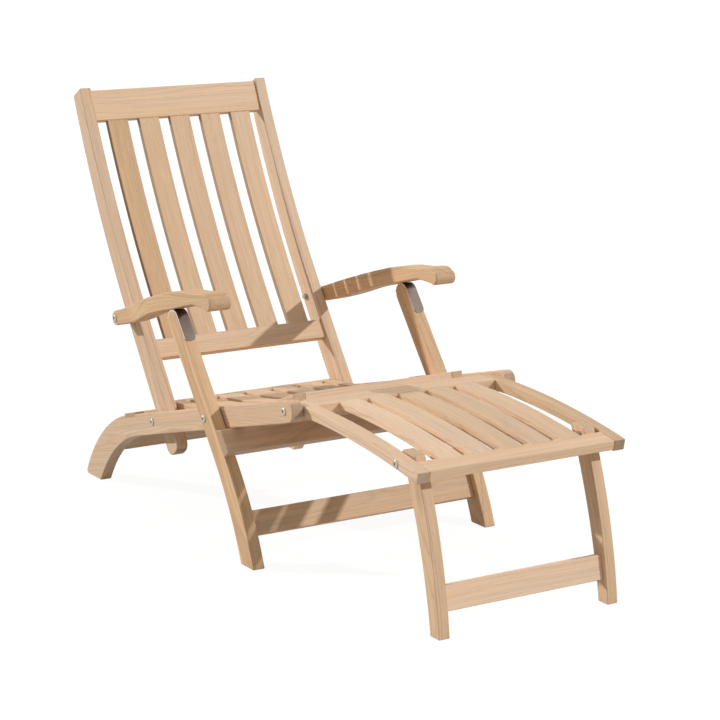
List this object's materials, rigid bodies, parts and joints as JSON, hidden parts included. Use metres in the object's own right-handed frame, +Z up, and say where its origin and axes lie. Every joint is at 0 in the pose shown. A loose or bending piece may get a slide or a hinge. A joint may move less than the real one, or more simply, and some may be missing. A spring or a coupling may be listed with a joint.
{
  "type": "steamer deck chair",
  "caption": "Slatted wooden steamer deck chair with a curved reclining backrest, sloping arms, crossed folding legs and a hinged footrest on its own legs.",
  "frame": {"origin": "centre of the bounding box at floor level", "axes": "+Z up, +Y towards the backrest (the footrest points to -Y), +X to the right of a person facing +Y"},
  "size_m": [0.61, 1.4662, 0.8858],
  "materials": {
    "teak": "untreated planed teak",
    "stainless_steel": "plain stainless steel"
  },
  "bodies": {
    "base": {"side_rail_left": "teak", "side_rail_right": "teak", "tie_bar": "teak", "rear_stretcher": "teak", "seat_bearers": "teak", "seat_side_left": "teak", "seat_side_right": "teak", "seat_rear_rail": "teak", "seat_front_rail": "teak", "seat_battens": "teak", "seat_slat_1": "teak", "seat_slat_2": "teak", "seat_slat_3": "teak", "seat_slat_4": "teak", "seat_slat_5": "teak", "leg_pivot_bolts": "stainless_steel", "leg_pivot_nuts": "stainless_steel", "footrest_pivot_bolts": "stainless_steel", "base_washers": "stainless_steel"},
    "backrest_hinge": {"back_pivot_bolts": "stainless_steel", "back_pivot_nuts": "stainless_steel", "back_pivot_washers": "stainless_steel"},
    "backrest": {"back_stile_left": "teak", "back_stile_right": "teak", "back_top_rail": "teak", "back_bottom_rail": "teak", "back_slat_1": "teak", "back_slat_2": "teak", "back_slat_3": "teak", "back_slat_4": "teak", "back_slat_5": "teak"},
    "arm_hinge": {"arm_pivot_bolts": "stainless_steel", "arm_pivot_nuts": "stainless_steel", "arm_pivot_washers": "stainless_steel"},
    "arms": {"arm_left": "teak", "arm_right": "teak"},
    "front_legs": {"front_leg_left": "teak", "front_leg_right": "teak", "front_stretcher": "teak", "stop_board": "teak", "arm_brackets": "stainless_steel", "leg_stops": "stainless_steel"},
    "footrest": {"footrest_rail_left": "teak", "footrest_rail_right": "teak", "footrest_rear_rail": "teak", "footrest_front_rail": "teak", "footrest_batten": "teak", "footrest_slat_1": "teak", "footrest_slat_2": "teak", "footrest_slat_3": "teak", "footrest_slat_4": "teak", "footrest_slat_5": "teak", "footrest_leg_bolts": "stainless_steel", "footrest_leg_nuts": "stainless_steel", "footrest_leg_spacers": "stainless_steel"},
    "footrest_legs": {"footrest_leg_left": "teak", "footrest_leg_right": "teak", "footrest_stretcher": "teak"}
  },
  "joints": [
    {"name": "backrest_fold", "type": "hinge", "parent": "base", "child": "backrest_hinge", "pos_m": [0, 0.30277, 0.19667], "axis": [1, 0, 0], "range_deg": [0, 92]},
    {"name": "recline", "type": "hinge", "parent": "backrest_hinge", "child": "backrest", "pos_m": [0, 0.30277, 0.19667], "axis": [1, 0, 0], "range_deg": [-14, 0]},
    {"name": "arms_fold", "type": "hinge", "parent": "backrest", "child": "arm_hinge", "pos_m": [0, 0.45977, 0.40127], "axis": [1, 0, 0], "range_deg": [-95, 0]},
    {"name": "arms_level", "type": "hinge", "parent": "arm_hinge", "child": "arms", "pos_m": [0, 0.45977, 0.40127], "axis": [1, 0, 0], "range_deg": [0, 9]},
    {"name": "front_legs_fold", "type": "hinge", "parent": "base", "child": "front_legs", "pos_m": [0, 0.01182, 0.273], "axis": [1, 0, 0], "range_deg": [0, 92]},
    {"name": "footrest_swing", "type": "hinge", "parent": "base", "child": "footrest", "pos_m": [0, -0.26647, 0.34601], "axis": [1, 0, 0], "range_deg": [-45, 75]},
    {"name": "footrest_legs_fold", "type": "hinge", "parent": "footrest", "child": "footrest_legs", "pos_m": [0, -0.62611, 0.32066], "axis": [1, 0, 0], "range_deg": [0, 98]}
  ],
  "couplings": [
    {"joint": "arms_fold", "follows": "backrest_fold", "ratio": -1.03},
    {"joint": "arms_level", "follows": "recline", "ratio": -0.61},
    {"joint": "front_legs_fold", "follows": "backrest_fold", "ratio": 1}
  ]
}
